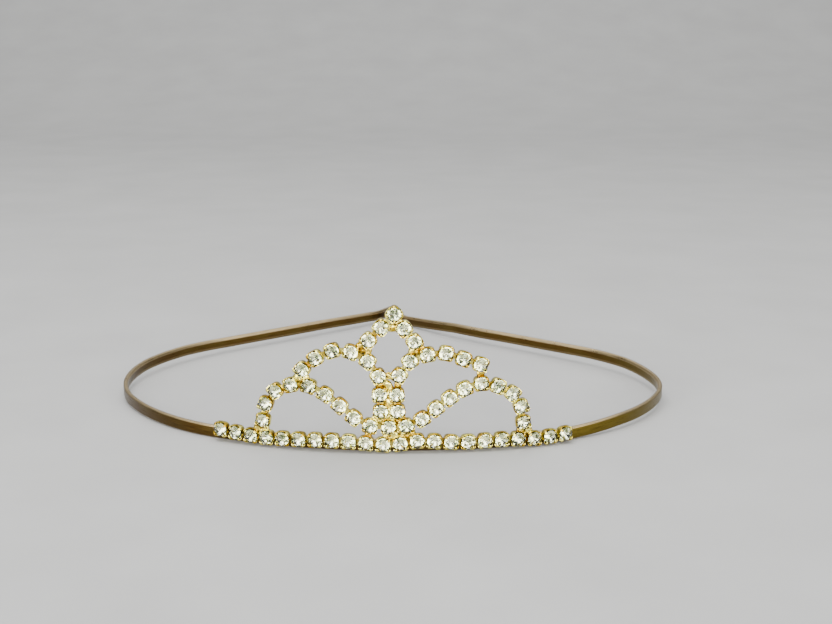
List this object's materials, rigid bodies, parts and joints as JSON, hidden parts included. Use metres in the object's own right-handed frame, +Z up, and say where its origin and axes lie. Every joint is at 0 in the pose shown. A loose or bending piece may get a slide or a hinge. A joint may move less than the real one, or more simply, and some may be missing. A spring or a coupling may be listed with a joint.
{
  "type": "mini crown headband",
  "caption": "Narrow metal strip headband with a small arched tiara of claw-set round crystals soldered to its front, for wearing on the head.",
  "frame": {"origin": "centre of the whole object's bounding box in X and Y, on the surface that it rests on", "axes": "+X to the right along the front as the wearer's crown faces the viewer, +Y from the front with the tiara to the open ends at the back, +Z up, the way the tiara stands"},
  "size_m": [0.1402, 0.1278, 0.0347],
  "materials": {
    "antique_bronze": "thin antique-bronze plating, satin, brownish gold with lighter rubbed edges",
    "gold_plate": "bright yellow-gold plating, polished, a little uneven at the solder",
    "crystal": "clear cut glass, foil-backed, sparkling, with a faint green-grey tinge"
  },
  "bodies": {
    "root": {"band": "antique_bronze", "tiara_frame": "gold_plate", "base_stones": "crystal", "left_loop_stones": "crystal", "right_loop_stones": "crystal", "left_arch_stones": "crystal", "right_arch_stones": "crystal", "peak_stones": "crystal", "column_stones": "crystal"}
  },
  "joints": []
}
